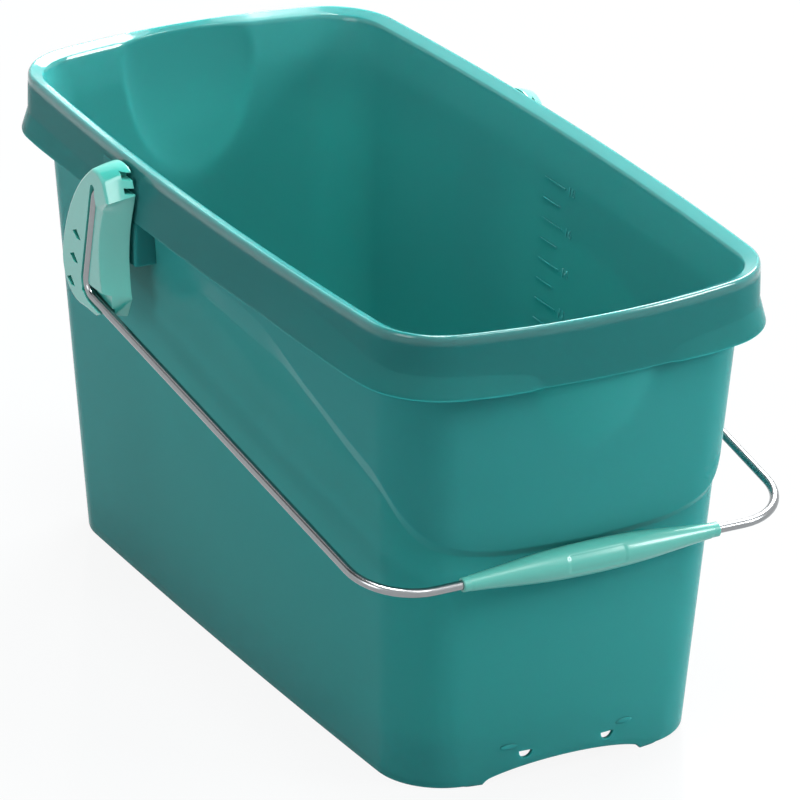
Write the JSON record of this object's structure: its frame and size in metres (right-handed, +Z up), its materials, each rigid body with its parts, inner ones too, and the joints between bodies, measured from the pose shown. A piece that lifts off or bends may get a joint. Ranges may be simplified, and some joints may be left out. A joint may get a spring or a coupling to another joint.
{
  "type": "cleaning bucket",
  "caption": "Rectangular cleaning bucket with a skirted rim, a pouring spout in each end, and an off-centre wire bail with rigid side clips and a turning grip.",
  "frame": {"origin": "on the ground under the middle of the tub", "axes": "+Z up; +Y along the tub, away from the end wall where the grip rests; +X across the tub, to the right when looking along +Y"},
  "size_m": [0.2704, 0.4862, 0.27],
  "materials": {
    "tub_plastic": "moulded polypropylene, half gloss, dark teal",
    "bail_steel": "zinc plated wire, satin",
    "clip_plastic": "moulded plastic, half gloss, light turquoise",
    "grip_plastic": "moulded plastic, half gloss, light turquoise"
  },
  "bodies": {
    "tub": {"tub": "tub_plastic"},
    "bail": {"bail_wire": "bail_steel", "clip_left": "clip_plastic", "clip_right": "clip_plastic"},
    "grip": {"grip": "grip_plastic"}
  },
  "joints": [
    {"name": "bail_swing", "type": "hinge", "parent": "tub", "child": "bail", "pos_m": [0, 0.075, 0.2505], "axis": [-1, 0, 0], "range_deg": [0, 98]},
    {"name": "grip_turn", "type": "hinge", "parent": "bail", "child": "grip", "pos_m": [0, -0.2303, 0.131], "axis": [1, 0, 0], "continuous": true}
  ]
}
